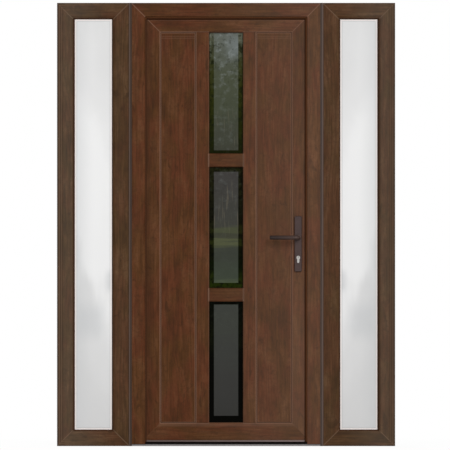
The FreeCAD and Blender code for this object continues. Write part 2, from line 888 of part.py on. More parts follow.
def lock_cylinder():
    proud = size("cylinder_proud")
    start = plate_front - proud
    length = plate_back - plate_front + proud * 2
    body = new_body("lock_cylinder")
    euro_profile(body, False, as_size(0), as_size(0), -1, as_size(0), start, length)
    bore = size("plug_radius") + size("plug_clearance")
    add_pocket(body, "XZ_Plane", [circle(0, 0, bore)], start - OVERRUN,
               length + 2 * OVERRUN)
    put(body, lock_x, 0, cylinder_z)

    start = start - size("plug_proud")
    length = length + size("plug_proud") * 2
    slot_wide = size("keyway_width") / 2
    slot_high = size("keyway_height") / 2
    slot = rectangle(-slot_wide, -slot_high, slot_wide, slot_high)
    plug = new_body("cylinder_plug")
    add_pad(plug, "XZ_Plane", [circle(0, 0, size("plug_radius"))], start, length)
    add_pocket(plug, "XZ_Plane", [slot], start, size("keyway_depth"))
    add_pocket(plug, "XZ_Plane", [slot], start + length - size("keyway_depth"),
               size("keyway_depth"))
    put(plug, lock_x, 0, cylinder_z)


def bolt_heights():
    """How high the bolts' centres stand."""
    return {
        "latch": lock_z + size("latch_rise"),
        "deadbolt": cylinder_z - size("deadbolt_drop"),
        "lower_hook": faceplate_low + size("hook_inset"),
        "upper_hook": faceplate_high - size("hook_inset"),
    }


def bolt_outline(height, grow=0):
    """The outline of a bolt's end, seen on the leaf's edge."""
    wide = size("bolt_width") / 2 + grow
    tall = size("bolt_length") / 2 + grow
    return rectangle(bolt_centre - wide, height - tall, bolt_centre + wide, height + tall)


def lock_furniture():
    """Faceplate and withdrawn bolts in the leaf's edge, and the keeps on the frame."""
    thick = size("faceplate_thickness")
    clearance = size("bolt_clearance")
    heights = bolt_heights()
    plate = new_body("lock_faceplate")
    add_pad(plate, "XY_Plane",
            [rectangle(-thick, faceplate_front, 0, faceplate_front + size("faceplate_width"))],
            faceplate_low, faceplate_high - faceplate_low)
    windows = [bolt_outline(height, clearance) for height in heights.values()]
    add_pocket(plate, "YZ_Plane", windows)
    put(plate, leaf_edge, 0, 0)

    bolts = new_body("lock_bolts")
    add_pad(bolts, "YZ_Plane", [bolt_outline(height) for height in heights.values()],
            -thick, thick)
    put(bolts, leaf_edge, 0, 0)

    keep = size("keep_thickness")
    margin = size("keep_margin")
    half = size("faceplate_width") / 2
    bolt_half = size("bolt_length") / 2
    keeps = new_body("lock_keeps")
    for first, last in (("deadbolt", "latch"), ("lower_hook", "lower_hook"),
                        ("upper_hook", "upper_hook")):
        low = heights[first] - bolt_half - margin
        high = heights[last] + bolt_half + margin
        add_pad(keeps, "YZ_Plane", [rectangle(bolt_centre - half, low, bolt_centre + half, high)],
                -keep, keep)
    add_pocket(keeps, "YZ_Plane", [bolt_outline(height, size("keep_window_margin"))
                                   for height in heights.values()])
    put(keeps, half_frame - jamb_rebate, 0, 0)


# Hinges

def hinge_frame_part(label, height):
    """A plate on the frame, two knuckles on arms, and the pin through them."""
    body = new_body(label)
    tall = size("hinge_height")
    radius = size("knuckle_radius")
    knuckle = size("knuckle_height")
    arm = size("hinge_arm")
    seat = inner_face - hinge_y
    plate_left = -half_frame + size("coupler_lap") + size("hinge_plate_gap") - hinge_x
    plate_right = arm - radius
    plate = add_pad(body, "XY_Plane",
                    [rectangle(plate_left, seat, plate_right, seat + size("hinge_plate"))],
                    0, tall)
    doc.recompute()
    dress(body, "Chamfer", plate, edges_along_depth(plate.Shape), size("hinge_corner"))
    for start in (as_size(0), tall - knuckle):
        add_pad(body, "XY_Plane", [rectangle(-radius, seat, -radius + arm, 0)], start, knuckle)
        add_pad(body, "XY_Plane", [circle(0, 0, radius)], start, knuckle)
    add_pad(body, "XY_Plane", [circle(0, 0, size("hinge_pin_radius"))], 0, tall)
    put(body, hinge_x, hinge_y, height - tall / 2)


def hinge_leaf_part(label, height):
    """A plate on the leaf's flange, and the middle knuckle with its bore."""
    body = new_body(label)
    tall = size("hinge_height")
    radius = size("knuckle_radius")
    gap = size("knuckle_gap")
    low = size("knuckle_height") + gap
    middle = tall - low * 2
    face = leaf_back - hinge_y
    edge = -leaf_half + size("hinge_plate_gap") - hinge_x
    thick = size("hinge_plate")
    plate = add_pad(body, "XY_Plane",
                    [rectangle(edge, face, edge + size("hinge_leaf_plate"), face + thick)],
                    0, tall)
    doc.recompute()
    dress(body, "Chamfer", plate, edges_along_depth(plate.Shape), size("hinge_corner"))
    add_pad(body, "XY_Plane", [rectangle(0, face + size("hinge_stand_off"),
                                         edge + thick, face + thick)], low, middle)
    add_pad(body, "XY_Plane", [circle(0, 0, radius)], low, middle)
    bore = size("hinge_pin_radius") + size("hinge_pin_clearance")
    add_pocket(body, "XY_Plane", [circle(0, 0, bore)])
    put(body, hinge_x, hinge_y, height - tall / 2)


def hinges():
    lower = leaf_base + size("hinge_inset")
    upper = leaf_rebate_top - size("hinge_inset")
    for name, height in (("lower", lower), ("middle", (lower + upper) / 2), ("upper", upper)):
        hinge_frame_part("%s_hinge_frame_part" % name, height)
        hinge_leaf_part("%s_hinge_leaf_part" % name, height)


def build():
    door_frame()
    threshold()
    frame_seal()
    couplers()
    sidelights()
    leaf_stiles()
    leaf_rails()
    leaf_bars()
    leaf_infill()
    drip_bar()
    leaf_seals()
    handle_plates()
    levers()
    lock_cylinder()
    lock_furniture()
    hinges()
    doc.recompute()


def sub_parts():
    """The bodies and groups that are sub-parts; the strips inside a group aren't."""
    groups = [item for item in doc.Objects if item.TypeId == "Part::Compound"]
    inside = {strip.Name for item in groups for strip in item.Links}
    bodies = [item for item in doc.Objects
              if item.TypeId == "PartDesign::Body" and item.Name not in inside]
    return bodies + groups


def check():
    """Stop if a feature failed, or a sub-part has no valid solid."""
    for item in doc.Objects:
        if "Invalid" in item.State or "Error" in item.State:
            raise RuntimeError("%s is %s" % (item.Name, item.State))
    for item in sub_parts():
        if item.Shape.isNull() or not item.Shape.isValid() or not item.Shape.Solids:
            raise RuntimeError("%s has no valid solid" % item.Label)


def write():
    os.makedirs("parts", exist_ok=True)
    for item in sub_parts():
        item.Shape.exportStep(os.path.join("parts", item.Label + ".step"))


build()
check()
write()
for item in sub_parts():
    print("%-28s %2d solids %12.1f mm3" % (item.Label, len(item.Shape.Solids),
                                           item.Shape.Volume))
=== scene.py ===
"""Looks of the entrance door with two sidelights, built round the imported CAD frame."""

import itertools
import math

import bmesh
import bpy
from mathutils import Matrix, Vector


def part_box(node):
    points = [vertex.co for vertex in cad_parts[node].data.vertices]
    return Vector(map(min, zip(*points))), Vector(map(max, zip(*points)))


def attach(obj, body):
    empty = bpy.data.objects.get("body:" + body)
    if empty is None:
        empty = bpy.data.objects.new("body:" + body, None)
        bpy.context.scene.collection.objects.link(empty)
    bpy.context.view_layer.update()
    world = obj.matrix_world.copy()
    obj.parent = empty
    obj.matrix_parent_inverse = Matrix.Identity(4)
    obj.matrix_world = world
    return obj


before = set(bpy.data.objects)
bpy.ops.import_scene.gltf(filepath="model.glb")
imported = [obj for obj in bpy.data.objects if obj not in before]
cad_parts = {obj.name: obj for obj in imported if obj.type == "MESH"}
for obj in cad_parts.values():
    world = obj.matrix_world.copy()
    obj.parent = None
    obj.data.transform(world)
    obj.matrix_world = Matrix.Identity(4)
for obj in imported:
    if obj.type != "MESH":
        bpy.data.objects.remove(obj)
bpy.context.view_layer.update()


# Colours and node helpers

def srgb(red, green, blue):
    """A colour as it looks on screen (0 to 255), in Blender's linear values."""
    values = []
    for part in (red, green, blue):
        part = part / 255
        values.append(part / 12.92 if part <= 0.04045 else ((part + 0.055) / 1.055) ** 2.4)
    return (*values, 1.0)


GLOSS_IOR = 1.45


class Graph:
    """One material and short calls that add nodes to it."""

    def __init__(self, name):
        self.material = bpy.data.materials.new(name)
        self.material.use_nodes = True
        self.tree = self.material.node_tree
        self.tree.nodes.clear()
        self.output = self.tree.nodes.new("ShaderNodeOutputMaterial")
        coords = self.tree.nodes.new("ShaderNodeTexCoord")
        self.place = coords.outputs["Object"]
        self.normal = coords.outputs["Normal"]

    def set(self, socket, value):
        if isinstance(value, bpy.types.NodeSocket):
            self.tree.links.new(value, socket)
        else:
            socket.default_value = value

    def math(self, kind, first, second=0.0):
        node = self.tree.nodes.new("ShaderNodeMath")
        node.operation = kind
        self.set(node.inputs[0], first)
        self.set(node.inputs[1], second)
        return node.outputs[0]

    def times(self, first, *others):
        for other in others:
            first = self.math("MULTIPLY", first, other)
        return first

    def split(self, vector):
        node = self.tree.nodes.new("ShaderNodeSeparateXYZ")
        self.set(node.inputs[0], vector)
        return node.outputs[0], node.outputs[1], node.outputs[2]

    def join(self, x, y, z):
        node = self.tree.nodes.new("ShaderNodeCombineXYZ")
        for socket, value in zip(node.inputs, (x, y, z)):
            self.set(socket, value)
        return node.outputs[0]

    def scaled(self, x, y, z, factors, offset=0.0):
        """The vector x, y, z times the factors, moved along by an offset."""
        parts = [self.times(part, factor) for part, factor in zip((x, y, z), factors)]
        parts[0] = self.math("ADD", parts[0], offset)
        return self.join(*parts)

    def noise(self, vector, scale=1.0, detail=2.0, roughness=0.5, distortion=0.0):
        node = self.tree.nodes.new("ShaderNodeTexNoise")
        self.set(node.inputs["Vector"], vector)
        self.set(node.inputs["Scale"], scale)
        self.set(node.inputs["Detail"], detail)
        self.set(node.inputs["Roughness"], roughness)
        self.set(node.inputs["Distortion"], distortion)
        return node.outputs["Fac"]

    def range(self, value, low, high, to_low=0.0, to_high=1.0, smooth=True):
        node = self.tree.nodes.new("ShaderNodeMapRange")
        node.interpolation_type = "SMOOTHSTEP" if smooth else "LINEAR"
        self.set(node.inputs["Value"], value)
        self.set(node.inputs["From Min"], low)
        self.set(node.inputs["From Max"], high)
        self.set(node.inputs["To Min"], to_low)
        self.set(node.inputs["To Max"], to_high)
        return node.outputs[0]

    def mix(self, factor, first, second, kind="MIX"):
        node = self.tree.nodes.new("ShaderNodeMix")
        node.data_type = "RGBA"
        node.blend_type = kind
        self.set(node.inputs[0], factor)
        self.set(node.inputs[6], first)
        self.set(node.inputs[7], second)
        return node.outputs[2]

    def ramp(self, value, stops):
        """A colour that changes softly along the stops, each a place and a colour."""
        node = self.tree.nodes.new("ShaderNodeValToRGB")
        node.color_ramp.interpolation = "EASE"
        elements = node.color_ramp.elements
        while len(elements) < len(stops):
            elements.new(1.0)
        for element, (place, colour) in zip(elements, stops):
            element.position = place
            element.color = colour
        self.set(node.inputs[0], value)
        return node.outputs[0]

    def near(self, value, middle, half_width, soft):
        """1 where value lies within half_width of middle, falling to 0 over soft."""
        away = self.math("ABSOLUTE", self.math("SUBTRACT", value, middle))
        return self.range(away, half_width, half_width + soft, 1.0, 0.0)

    def bump(self, height, distance, strength=1.0):
        node = self.tree.nodes.new("ShaderNodeBump")
        node.inputs["Strength"].default_value = strength
        node.inputs["Distance"].default_value = distance
        self.set(node.inputs["Height"], height)
        return node.outputs[0]

    def principled(self, **inputs):
        node = self.tree.nodes.new("ShaderNodeBsdfPrincipled")
        for name, value in inputs.items():
            self.set(node.inputs[name.replace("_", " ")], value)
        self.tree.links.new(node.outputs[0], self.output.inputs["Surface"])
        return node

    def edge_distances(self, left, low, right, high):
        """How far a point lies outside a rectangle across (u) and up (v), negative inside."""
        x, _, z = self.split(self.place)
        across = self.math("ABSOLUTE", self.math("SUBTRACT", x, (left + right) / 2))
        up = self.math("ABSOLUTE", self.math("SUBTRACT", z, (low + high) / 2))
        return (self.math("SUBTRACT", across, (right - left) / 2),
                self.math("SUBTRACT", up, (high - low) / 2))


def dress(node_names, material):
    """Gives CAD nodes one material."""
    for name in node_names:
        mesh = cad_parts[name].data
        mesh.materials.clear()
        mesh.materials.append(material)


# Places on the part, in metres

head_low, head_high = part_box("door_frame_head")
rail_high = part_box("leaf_top_rail")[1]
stile_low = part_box("leaf_hinge_stile")[0]
TOP = head_high.z

LEG_EDGE = 0.371       # inner edge of the door frame's front leg, left and right
LEG_FOOT = 1.968       # lower edge of that leg under the head
LEG_BACK = -0.021      # back of the leg, which the leaf's face lies behind
PANE_HALF = 0.078      # from the middle to a mullion's inner edge
PANELS_LOW = 0.106     # lower and upper edge of the openings for panels and panes
PANELS_HIGH = 1.898
SPINDLE = Vector((0.331, 0.0, 0.956))


# Wood-grain foil

# Foil colours, among them a painted sheen and a pale colour for weld seams, scribed lines and
# painted highlights
DOOR_TONES = {
    "dark": srgb(48, 25, 4),
    "brown": srgb(78, 43, 18),
    "red": srgb(88, 42, 21),
    "olive": srgb(74, 46, 14),
    "light": srgb(98, 63, 38),
    "line": srgb(126, 95, 78),
    "painted_sheen": (0.021, 0.017, 0.014, 1.0),
}
SIDE_TONES = {
    "dark": srgb(48, 30, 14),
    "brown": srgb(73, 48, 27),
    "red": srgb(79, 47, 28),
    "olive": srgb(68, 49, 24),
    "light": srgb(94, 68, 46),
    "line": srgb(116, 94, 76),
    "painted_sheen": (0.012, 0.015, 0.014, 1.0),
}


SEED_STEP = 7.31    # how far apart two bars are cut from the same noise


def grain(g, tones, upright, seed):
    """The foil's printed figure and embossing: its colour, roughness and height."""
    x, y, z = g.split(g.place)
    along, across = (z, x) if upright else (x, z)
    shift = seed * SEED_STEP

    def cut(fine, long, offset, detail, roughness, distortion=0.0, sideways=across):
        """Noise with its fineness across and along the bar."""
        place = g.scaled(sideways, y, along, (fine, fine, long), shift + offset)
        return g.noise(place, 1.0, detail, roughness, distortion)

    wander = cut(4.0, 1.3, 0, 3.0, 0.6)
    bent = g.math("ADD", across, g.times(wander, 0.09))
    figure = cut(10.0, 0.9, 3, 2.0, 0.45, sideways=bent)
    rings = g.range(g.math("SINE", g.times(figure, 78.0)), -1.0, 1.0)
    streak = cut(150.0, 8.0, 0, 4.0, 0.62)
    fibre = cut(620.0, 16.0, 9, 3.0, 0.6)
    broad = cut(16.0, 6.0, 20, 5.0, 0.66)
    patch = cut(36.0, 26.0, 31, 4.0, 0.66, 0.8)
    knot = cut(19.0, 9.0, 47, 3.0, 0.55, 1.5)
    ripple = cut(60.0, 95.0, 71, 2.0, 0.5, 0.8)
    wash = cut(12.0, 6.0, 61, 3.0, 0.55)

    hue = g.mix(g.range(wash, 0.38, 0.62), tones["olive"], tones["red"])
    colour = g.mix(0.5, tones["brown"], hue)
    depth = g.math("ADD", g.times(streak, 0.38), g.times(broad, 0.62))
    colour = g.mix(g.range(depth, 0.46, 0.70, 0.0, 0.85), colour, tones["light"])
    colour = g.mix(g.range(depth, 0.52, 0.32, 0.0, 0.7), colour, tones["dark"])
    flecks = g.range(g.times(streak, g.math("ADD", patch, 0.5)), 0.42, 0.30)
    ripples = g.times(g.range(ripple, 0.50, 0.64), g.range(broad, 0.42, 0.58))
    pores = g.range(fibre, 0.40, 0.27)
    for mark, strength in ((g.range(rings, 0.45, 1.0), 0.26), (g.range(patch, 0.50, 0.68), 0.34),
                           (flecks, 0.22), (g.range(knot, 0.61, 0.73), 0.6), (ripples, 0.24),
                           (pores, 0.45)):
        colour = g.mix(g.times(mark, strength), colour, tones["dark"])

    rough = g.math("ADD", g.times(streak, 0.16), 0.42)
    height = g.math("SUBTRACT", g.times(streak, 0.35), g.times(pores, 0.65))
    return colour, rough, height


def painted_sheen(g, colour, tones):
    """A painted sheen on the foil that grows to the right over the door, outwards at the sides."""
    x = g.split(g.place)[0]
    if tones is DOOR_TONES:
        amount = g.range(x, -0.20, 0.36)
    else:
        amount = g.range(g.math("ABSOLUTE", x), 0.50, 0.72)
    return g.mix(amount, colour, tones["painted_sheen"], "ADD")


def worn_arrises(g, colour, tones, from_x):
    """Painted highlights on the front's bevels, from this distance outwards."""
    x, y, z = g.split(g.place)
    facing = g.math("ABSOLUTE", g.split(g.normal)[1])
    arris = g.times(g.range(facing, 0.2, 0.4), g.range(facing, 0.97, 0.9))
    front = g.range(y, 0.030, 0.020)
    beyond = g.range(g.math("ABSOLUTE", x), from_x - 0.001, from_x)
    worn = g.range(z, 0.10, 0.12, 0.62, 0.76)
    return g.mix(g.times(arris, front, beyond, worn), colour, tones["line"])


def mitres(g, colour, height, tones, rectangle, weld):
    """Pale welded seams at a frame's corners, and a dark outer rim.

    weld is how strong the seams are low and high up. Also returns the depth inside the rim.
    """
    z = g.split(g.place)[2]
    u, v = g.edge_distances(*rectangle)
    seam = g.near(g.math("SUBTRACT", u, v), 0.0, 0.0014, 0.0022)
    strength = g.range(z, 0.6, 1.4, *weld)
    colour = g.mix(g.times(seam, strength), colour, tones["line"])
    height = g.math("SUBTRACT", height, g.times(seam, strength, 2.0))
    inwards = g.times(g.math("MAXIMUM", u, v), -1.0)
    rim = g.range(inwards, 0.0026, 0.0012)
    return g.mix(g.times(rim, 0.85), colour, tones["dark"]), height, inwards


SCRIBED_LINES = (0.0108, 0.0200)    # how far they lie inside the sidelight's outline


def sidelight_lines(g, colour, height, tones, inwards):
    """Two scribed lines along the set's outer edge, and painted shade in the rebate beside the
    glass.
    """
    x = g.split(g.place)[0]
    outer = g.range(g.math("ABSOLUTE", x), 0.735, 0.745)
    colour = g.mix(g.times(outer, g.range(inwards, 0.032, 0.022), 0.42), colour, tones["dark"])
    lit = g.times(outer, g.range(x, -0.7, 0.7, 0.36, 0.28))
    for place in SCRIBED_LINES:
        line = g.times(g.near(inwards, place, 0.0009, 0.0013), lit)
        colour = g.mix(line, colour, tones["line"])
        height = g.math("SUBTRACT", height, g.times(line, 1.2))
    # painted shade in the rebate beside the glass
    beside_glass = g.range(g.math("ABSOLUTE", x), 0.60, 0.61)
    rebate = g.times(g.range(inwards, 0.0700, 0.0725), beside_glass)
    return g.mix(g.times(rebate, 0.85), colour, tones["dark"]), height


def foil(name, tones, upright, seed, rectangle=None, light_edges=None, outer_lines=False,
         weld=(0.55, 0.55), shade=None, deepen=0.0):
    """Embossed oak foil whose grain runs up the bar or along it.

    rectangle is the outline of the frame that the bar belongs to; the bevels get painted
    highlights from the given distance to the middle outwards, and shade is a function for what
    only this bar has.
    """
    g = Graph(name)
    colour, rough, height = grain(g, tones, upright, seed)
    colour = painted_sheen(g, colour, tones)
    # painted highlights on the front's bevels
    if light_edges is not None:
        colour = worn_arrises(g, colour, tones, light_edges)
    if shade is not None:
        colour = shade(g, colour, tones)
    colour = g.mix(deepen, colour, tones["dark"])
    if rectangle is not None:
        colour, height, inwards = mitres(g, colour, height, tones, rectangle, weld)
        if outer_lines:
            colour, height = sidelight_lines(g, colour, height, tones, inwards)
    g.principled(Base_Color=colour, Roughness=rough, IOR=GLOSS_IOR, Specular_IOR_Level=0.11,
                 Normal=g.bump(height, 0.0003, 0.8))
    return g.material


def hinge_stile_shade(g, colour, tones):
    """Painted shade beside the frame's leg, which stands out in front of the stile."""
    x = g.split(g.place)[0]
    near_jamb = g.range(x, -LEG_EDGE + 0.040, -LEG_EDGE + 0.012)
    return g.mix(g.times(near_jamb, 0.32), colour, tones["dark"])


def lock_stile_shade(g, colour, tones):
    """Painted highlight on the bevel by the panel; painted light, darker up high and paler low."""
    x, _, z = g.split(g.place)
    band = g.times(g.range(x, 0.308, 0.301), g.range(z, 0.09, 0.11), g.range(z, 1.905, 1.885))
    colour = g.mix(g.times(band, 0.45), colour, tones["line"])
    # painted light: darker towards the top and paler towards the foot
    colour = g.mix(g.range(z, 1.1, 1.7, 0.0, 0.10), colour, tones["dark"])
    return g.mix(g.range(z, 1.0, 0.4, 0.0, 0.11), colour, tones["line"])


def top_rail_shade(g, colour, tones):
    """A fine pale line along the top and a painted highlight on the bevel above the panels."""
    z = g.split(g.place)[2]
    line = g.near(z, 1.9525, 0.0012, 0.0016)
    band = g.range(z, PANELS_HIGH + 0.005, PANELS_HIGH - 0.001)
    colour = g.mix(g.times(line, 0.12), colour, tones["line"])
    return g.mix(g.times(band, 0.42), colour, tones["line"])


def bottom_rail_shade(g, colour, tones):
    """A soft pale band under the panels' lower bevel."""
    z = g.split(g.place)[2]
    band = g.range(z, PANELS_LOW - 0.024, PANELS_LOW - 0.009)
    return g.mix(g.times(band, 0.22), colour, tones["line"])


def mullion_shade(g, colour, tones):
    """A painted highlight on the bevel beside the panes, stronger where a cross bar meets it."""
    x, _, z = g.split(g.place)
    edge = g.range(g.math("ABSOLUTE", x), PANE_HALF + 0.0055, PANE_HALF + 0.0040)
    joint = 0.0
    for bar in ("lower_cross_bar", "upper_cross_bar"):
        low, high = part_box(bar)
        beside = g.near(z, (low.z + high.z) / 2, (high.z - low.z) / 2 - 0.002, 0.002)
        joint = g.math("MAXIMUM", beside, joint)
    strength = g.math("ADD", g.times(joint, 0.75), 0.20)
    return g.mix(g.times(edge, strength), colour, tones["line"])


def cross_bar_shade(g, colour, tones):
    """A painted highlight on a cross bar's ends, where they meet the mullions."""
    x = g.split(g.place)[0]
    end = g.range(g.math("ABSOLUTE", x), PANE_HALF - 0.0030, PANE_HALF - 0.0010)
    return g.mix(g.times(end, 0.5), colour, tones["line"])


def panel_shade(g, colour, tones):
    """Two faint scribed lines across each panel's head; painted shade grows to the right."""
    x, _, z = g.split(g.place)
    for down in (0.019, 0.028):
        line = g.near(z, PANELS_HIGH - down, 0.0010, 0.0016)
        colour = g.mix(g.times(line, 0.16), colour, tones["line"])
    # painted shade that grows towards the right, against the painted sheen
    return g.mix(g.range(x, -0.2, 0.2, 0.02, 0.08), colour, tones["dark"])


seeds = itertools.count(2)


def dress_foil(names, tones, upright, **details):
    """Each bar gets its own cut of the foil, so that no grain runs on past a joint."""
    for name in names:
        dress([name], foil("foil_" + name, tones, upright, next(seeds), **details))


FAR_DOWN = 12.0    # the door frame has no sill and no mitres there: its rectangle goes far down
FLANGE = 0.020     # the leaf's foot has no flange, but its mitres run as if it had one
door_rectangle = (head_low.x, TOP - FAR_DOWN, head_high.x, TOP)
leaf_rectangle = (-rail_high.x, stile_low.z - FLANGE, rail_high.x, rail_high.z)
dress_foil(["door_frame_hinge_jamb", "door_frame_lock_jamb"], DOOR_TONES, True,
           rectangle=door_rectangle)
dress_foil(["door_frame_head"], DOOR_TONES, False, rectangle=door_rectangle, deepen=0.09)
dress_foil(["leaf_hinge_stile"], DOOR_TONES, True, rectangle=leaf_rectangle, light_edges=0.0,
           weld=(0.05, 0.5), shade=hinge_stile_shade, deepen=0.05)
dress_foil(["leaf_lock_stile"], DOOR_TONES, True, rectangle=leaf_rectangle, light_edges=0.0,
           weld=(0.05, 0.35), shade=lock_stile_shade)
dress_foil(["leaf_top_rail"], DOOR_TONES, False, rectangle=leaf_rectangle,
           light_edges=PANE_HALF, weld=(0.05, 0.4), shade=top_rail_shade, deepen=0.03)
dress_foil(["leaf_bottom_rail"], DOOR_TONES, False, rectangle=leaf_rectangle,
           light_edges=PANE_HALF, weld=(0.05, 0.4), shade=bottom_rail_shade, deepen=0.09)
dress_foil(["leaf_left_mullion", "leaf_right_mullion"], DOOR_TONES, True, light_edges=0.110,
           shade=mullion_shade)
dress_foil(["lower_cross_bar", "upper_cross_bar"], DOOR_TONES, False, shade=cross_bar_shade,
           deepen=0.22)
dress_foil(["left_panel", "right_panel"], DOOR_TONES, True, light_edges=0.0, shade=panel_shade)
dress_foil(["panel_beads", "glass_beads"], DOOR_TONES, True)

for side in ("left", "right"):
    low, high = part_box(side + "_sidelight_head")
    rectangle = (low.x, 0.0, high.x, TOP)
    uprights = [side + "_sidelight_outer_stile", side + "_sidelight_inner_stile"]
    flats = [side + "_sidelight_head", side + "_sidelight_sill"]
    dress_foil(uprights, SIDE_TONES, True, rectangle=rectangle, outer_lines=True,
               weld=(0.42, 0.42))
    dress_foil(flats, SIDE_TONES, False, rectangle=rectangle, outer_lines=True,
               weld=(0.42, 0.42))
    dress_foil([side + "_sidelight_beads"], SIDE_TONES, True)


# Glass

GLASS_HIDDEN = 0.015    # how far a pane reaches into its rebate


def opening(glass):
    """The part of a pane that its frame leaves open: left, low, right, high."""
    low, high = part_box(glass)
    return (low.x + GLASS_HIDDEN, low.z + GLASS_HIDDEN,
            high.x - GLASS_HIDDEN, high.z - GLASS_HIDDEN)


def pane_glass(name, cell, inner, tones, mottle):
    """A dark pane with a satin rectangle in its middle, and a painted reflection of a garden.

    cell and inner are the outlines of the opening and of the satin part, and mottle shifts
    the noises. The tones' inner and border colours run up the pane.
    """
    g = Graph(name)
    x, y, z = g.split(g.place)
    u, v = g.edge_distances(*inner)
    satin = g.range(g.math("MAXIMUM", u, v), 0.0008, -0.0008)
    up = g.range(z, cell[1], cell[3], smooth=False)
    leaves = g.noise(g.scaled(x, y, z, (30.0, 5.0, 36.0), mottle), 1.0, 6.0, 0.68)
    canopy = g.noise(g.scaled(x, y, z, (34.0, 5.0, 27.0), mottle + 2), 1.0, 6.0, 0.70)
    trunks = g.noise(g.scaled(x, y, z, (85.0, 5.0, 7.0), mottle + 4), 1.0, 3.0, 0.55, 0.25)
    bands = g.noise(g.scaled(x, y, z, (3.0, 5.0, 45.0), mottle + 9), 1.0, 3.0, 0.6)
    wavy = g.math("ADD", up, g.range(bands, 0.3, 0.7, -0.03, 0.03))

    inside = g.ramp(wavy, tones["inner"])
    stripe = g.times(g.range(trunks, 0.54, 0.66), g.near(up, tones["trunks"][0], 0.14, 0.12),
                     tones["trunks"][1])
    inside = g.mix(stripe, inside, srgb(96, 90, 78))
    # a painted reflection of bright sky at the top of the upper pane
    sky_reflection = g.times(g.near(up, 0.88, 0.03, 0.11), g.range(x, -0.025, 0.045), tones["sky_reflection"])
    inside = g.mix(sky_reflection, inside, srgb(116, 123, 124))
    high = g.range(up, 0.45, 0.92, 0.20, 1.0)
    spots = g.times(g.range(leaves, 0.48, 0.70), high, tones["leaves"])
    inside = g.mix(spots, inside, srgb(126, 132, 130))
    shadow = g.times(g.range(canopy, 0.50, 0.34), high, tones["depth"])
    inside = g.mix(shadow, inside, tones["deep"])

    border = g.ramp(wavy, tones["border"])
    border = g.mix(g.times(spots, g.range(up, 0.5, 1.0, 0.3, 0.9)), border, srgb(104, 112, 98))
    border = g.mix(g.times(g.range(canopy, 0.54, 0.40), 0.85), border, tones["deep"])
    colour = g.mix(satin, border, inside)
    edge = g.edge_distances(*cell)
    inwards = g.times(g.math("MAXIMUM", *edge), -1.0)
    # painted shade along the edge of the opening
    colour = g.mix(g.times(g.range(inwards, 0.0035, 0.0010), 0.4), colour, srgb(8, 8, 5))
    g.principled(Base_Color=colour, Roughness=g.range(satin, 0.0, 1.0, 0.05, 0.34), IOR=GLOSS_IOR,
                 Specular_IOR_Level=0.02, Transmission_Weight=0.0,
                 Normal=g.bump(leaves, 0.0002, 0.2))
    return g.material


PANE_BORDER = 0.0222    # clear glass left and right of the satin part
# Colours of each pane's dark glass and satin part, with the painted reflection of a garden in them
UPPER_TONES = {
    "inner": ((0.0, srgb(59, 60, 51)), (0.15, srgb(61, 63, 53)), (0.4, srgb(65, 69, 55)),
              (0.62, srgb(69, 73, 58)), (0.82, srgb(80, 84, 74)), (1.0, srgb(94, 98, 91))),
    "border": ((0.0, srgb(23, 26, 6)), (0.2, srgb(30, 34, 5)), (0.5, srgb(41, 44, 12)),
               (0.72, srgb(49, 51, 24)), (0.88, srgb(63, 65, 46)), (1.0, srgb(98, 100, 86))),
    "deep": srgb(18, 22, 7), "leaves": 0.82, "depth": 0.70, "sky_reflection": 0.55,
    "trunks": (0.16, 0.40)}
MIDDLE_TONES = {
    "inner": ((0.0, srgb(76, 85, 62)), (0.10, srgb(57, 63, 53)), (0.30, srgb(55, 58, 51)),
              (0.36, srgb(66, 69, 53)), (0.385, srgb(76, 79, 57)), (0.42, srgb(59, 60, 49)),
              (0.48, srgb(68, 71, 53)), (0.54, srgb(59, 59, 54)), (1.0, srgb(60, 58, 56))),
    "border": ((0.0, srgb(29, 39, 4)), (0.08, srgb(27, 35, 6)), (0.16, srgb(9, 16, 1)),
               (0.33, srgb(12, 14, 3)), (0.385, srgb(32, 36, 10)), (0.42, srgb(13, 14, 4)),
               (0.48, srgb(30, 32, 10)), (0.56, srgb(16, 16, 6)), (1.0, srgb(26, 26, 9))),
    "deep": srgb(6, 6, 2), "leaves": 0.16, "depth": 0.22, "sky_reflection": 0.0,
    "trunks": (0.66, 0.50)}
LOWER_TONES = {
    "inner": ((0.0, srgb(52, 52, 50)), (0.3, srgb(54, 54, 52)), (0.6, srgb(56, 57, 54)),
              (0.85, srgb(58, 60, 55)), (1.0, srgb(57, 59, 55))),
    "border": ((0.0, srgb(4, 4, 2)), (0.5, srgb(4, 4, 2)), (0.74, srgb(12, 14, 4)),
               (0.86, srgb(6, 7, 2)), (1.0, srgb(4, 6, 1))),
    "deep": srgb(4, 4, 2), "leaves": 0.04, "depth": 0.10, "sky_reflection": 0.0,
    "trunks": (0.5, 0.0)}
for glass, below, above, tones, mottle in (    # clear glass below and above the satin part
        ("upper_glass", 0.015, -0.02, UPPER_TONES, 2.0),
        ("middle_glass", 0.024, 0.022, MIDDLE_TONES, 8.0),
        ("lower_glass", 0.031, 0.014, LOWER_TONES, 15.0)):
    cell = opening(glass)
    inner = (cell[0] + PANE_BORDER, cell[1] + below, cell[2] - PANE_BORDER, cell[3] - above)
    dress([glass], pane_glass("glass_" + glass, cell, inner, tones, mottle))


